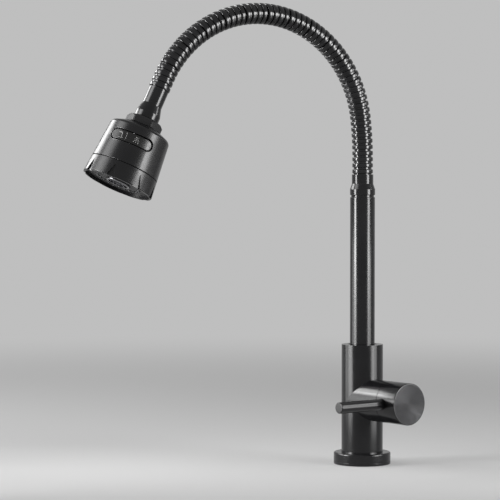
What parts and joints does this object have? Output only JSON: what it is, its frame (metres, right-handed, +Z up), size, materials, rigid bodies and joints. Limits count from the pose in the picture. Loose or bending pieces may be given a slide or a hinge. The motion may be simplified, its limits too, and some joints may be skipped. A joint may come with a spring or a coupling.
{
  "type": "flexible kitchen tap",
  "caption": "Deck-mounted kitchen tap: upright body with a side handle, turning riser, ribbed bendable neck and a spray head with a rocker.",
  "frame": {"origin": "centre of the flange's underside, where the tap stands on the worktop", "axes": "+Z up along the riser; the neck's arch lies in the YZ plane and reaches towards -Y; the valve barrel points along +X, swung 10 degrees towards +Y"},
  "size_m": [0.1039, 0.3212, 0.4943],
  "materials": {
    "black_gloss": "glossy black coat",
    "spun_black": "spun satin black on the cap's end",
    "rib_black": "satin black",
    "head_black": "smooth black",
    "face_black": "fine matt",
    "rocker_grey": "smooth dark grey",
    "seal_rubber": "smooth",
    "nozzle_rubber": "soft silicone",
    "brass_raw": "machined",
    "steel": "brushed",
    "bright_trim": "polished",
    "white_plastic": "moulded",
    "ceramic_white": "lapped",
    "hose_clear": "silicone hose"
  },
  "bodies": {
    "base": {"tap_body": "black_gloss", "base_flange": "black_gloss", "base_gasket": "seal_rubber", "mounting_shank": "brass_raw", "deck_rubber_washer": "seal_rubber", "deck_steel_washer": "steel", "lock_nut": "brass_raw", "cartridge_seat_seal": "seal_rubber", "ceramic_disc_fixed": "ceramic_white", "cartridge_housing": "brass_raw", "cartridge_o_ring": "seal_rubber", "headwork_nut": "brass_raw", "barrel_slip_ring": "face_black", "swivel_bush": "white_plastic", "riser_retainer": "steel"},
    "handle": {"ceramic_disc_moving": "ceramic_white", "cartridge_spindle": "brass_raw", "spindle_o_ring": "seal_rubber", "spindle_clip": "steel", "handle_insert": "white_plastic", "handle_cap": "spun_black", "handle_set_screw": "steel", "lever": "black_gloss"},
    "riser": {"riser_tube": "black_gloss", "riser_tail": "brass_raw", "riser_o_rings": "seal_rubber", "riser_collar": "black_gloss", "lower_ferrule": "black_gloss", "hose_tail_lower": "brass_raw", "water_hose": "hose_clear", "neck_link_01": "rib_black"},
    "link_02": {"neck_link_02": "rib_black"},
    "link_03": {"neck_link_03": "rib_black"},
    "link_04": {"neck_link_04": "rib_black"},
    "link_05": {"neck_link_05": "rib_black"},
    "link_06": {"neck_link_06": "rib_black"},
    "link_07": {"neck_link_07": "rib_black"},
    "link_08": {"neck_link_08": "rib_black"},
    "link_09": {"neck_link_09": "rib_black"},
    "link_10": {"neck_link_10": "rib_black"},
    "link_11": {"neck_link_11": "rib_black"},
    "link_12": {"neck_link_12": "rib_black"},
    "link_13": {"neck_link_13": "rib_black"},
    "link_14": {"neck_link_14": "rib_black"},
    "neck_end": {"neck_link_15": "rib_black", "upper_ferrule": "black_gloss", "hose_tail_upper": "brass_raw", "swivel_connector": "brass_raw"},
    "head": {"swivel_washer": "seal_rubber", "swivel_nut": "black_gloss", "head_core": "white_plastic", "aerator_housing": "white_plastic", "aerator_mesh": "steel", "aerator_ring": "bright_trim", "head_shell": "head_black", "grip_ring": "head_black", "face_plate": "face_black", "nozzle_mat": "nozzle_rubber", "rocker_pin": "steel"},
    "rocker": {"selector_rocker": "rocker_grey"}
  },
  "joints": [
    {"name": "handle_turn", "type": "hinge", "parent": "base", "child": "handle", "pos_m": [0.05042, 0.00889, 0.0625], "axis": [-0.9848, -0.1736, 0], "range_deg": [0, 90]},
    {"name": "spout_swivel", "type": "hinge", "parent": "base", "child": "riser", "pos_m": [0, 0, 0.1], "axis": [0, 0, 1], "continuous": true},
    {"name": "neck_bend_02", "type": "hinge", "parent": "riser", "child": "link_02", "pos_m": [0, -0.00012, 0.30267], "axis": [1, 0, 0], "range_deg": [-8, 8], "deforming": ["water_hose"]},
    {"name": "neck_sway_03", "type": "hinge", "parent": "link_02", "child": "link_03", "pos_m": [0, -0.00164, 0.32599], "axis": [0, 0.9947, 0.1024], "range_deg": [-8, 8], "deforming": ["water_hose"]},
    {"name": "neck_bend_04", "type": "hinge", "parent": "link_03", "child": "link_04", "pos_m": [0, -0.00564, 0.34898], "axis": [1, 0, 0], "range_deg": [-8, 8], "deforming": ["water_hose"]},
    {"name": "neck_sway_05", "type": "hinge", "parent": "link_04", "child": "link_05", "pos_m": [0, -0.01422, 0.37068], "axis": [0, 0.8863, 0.4632], "range_deg": [-8, 8], "deforming": ["water_hose"]},
    {"name": "neck_bend_06", "type": "hinge", "parent": "link_05", "child": "link_06", "pos_m": [0, -0.02713, 0.39011], "axis": [1, 0, 0], "range_deg": [-8, 8], "deforming": ["water_hose"]},
    {"name": "neck_bend_07", "type": "hinge", "parent": "link_06", "child": "link_07", "pos_m": [0, -0.04382, 0.40641], "axis": [1, 0, 0], "range_deg": [-8, 8], "deforming": ["water_hose"]},
    {"name": "neck_sway_08", "type": "hinge", "parent": "link_07", "child": "link_08", "pos_m": [0, -0.06355, 0.41886], "axis": [0, 0.4422, 0.8969], "range_deg": [-8, 8], "deforming": ["water_hose"]},
    {"name": "neck_bend_09", "type": "hinge", "parent": "link_08", "child": "link_09", "pos_m": [0, -0.08544, 0.42693], "axis": [1, 0, 0], "range_deg": [-8, 8], "deforming": ["water_hose"]},
    {"name": "neck_sway_10", "type": "hinge", "parent": "link_09", "child": "link_10", "pos_m": [0, -0.10853, 0.43024], "axis": [0, 0.0373, 0.9993], "range_deg": [-8, 8], "deforming": ["water_hose"]},
    {"name": "neck_bend_11", "type": "hinge", "parent": "link_10", "child": "link_11", "pos_m": [0, -0.13181, 0.42866], "axis": [1, 0, 0], "range_deg": [-8, 8], "deforming": ["water_hose"]},
    {"name": "neck_bend_12", "type": "hinge", "parent": "link_11", "child": "link_12", "pos_m": [0, -0.15424, 0.42225], "axis": [1, 0, 0], "range_deg": [-8, 8], "deforming": ["water_hose"]},
    {"name": "neck_sway_13", "type": "hinge", "parent": "link_12", "child": "link_13", "pos_m": [0, -0.17484, 0.4113], "axis": [0, -0.5595, 0.8288], "range_deg": [-8, 8], "deforming": ["water_hose"]},
    {"name": "neck_bend_14", "type": "hinge", "parent": "link_13", "child": "link_14", "pos_m": [0, -0.1927, 0.39629], "axis": [1, 0, 0], "range_deg": [-8, 8], "deforming": ["water_hose"]},
    {"name": "neck_sway_15", "type": "hinge", "parent": "link_14", "child": "neck_end", "pos_m": [0, -0.20703, 0.37788], "axis": [0, -0.8492, 0.528], "range_deg": [-8, 8], "deforming": ["water_hose"]},
    {"name": "head_turn", "type": "hinge", "parent": "neck_end", "child": "head", "pos_m": [0, -0.23342, 0.32472], "axis": [0, -0.4352, -0.9003], "continuous": true},
    {"name": "rocker_tip", "type": "hinge", "parent": "head", "child": "rocker", "pos_m": [0.02052, -0.25456, 0.31161], "axis": [0, -0.4352, -0.9003], "range_deg": [0, 6]}
  ],
  "couplings": [
    {"joint": "neck_bend_04", "follows": "neck_bend_02", "ratio": 1},
    {"joint": "neck_sway_05", "follows": "neck_sway_03", "ratio": 1},
    {"joint": "neck_bend_06", "follows": "neck_bend_02", "ratio": 1},
    {"joint": "neck_bend_07", "follows": "neck_bend_02", "ratio": 1},
    {"joint": "neck_sway_08", "follows": "neck_sway_03", "ratio": 1},
    {"joint": "neck_bend_09", "follows": "neck_bend_02", "ratio": 1},
    {"joint": "neck_sway_10", "follows": "neck_sway_03", "ratio": 1},
    {"joint": "neck_bend_11", "follows": "neck_bend_02", "ratio": 1},
    {"joint": "neck_bend_12", "follows": "neck_bend_02", "ratio": 1},
    {"joint": "neck_sway_13", "follows": "neck_sway_03", "ratio": 1},
    {"joint": "neck_bend_14", "follows": "neck_bend_02", "ratio": 1},
    {"joint": "neck_sway_15", "follows": "neck_sway_03", "ratio": 1}
  ]
}
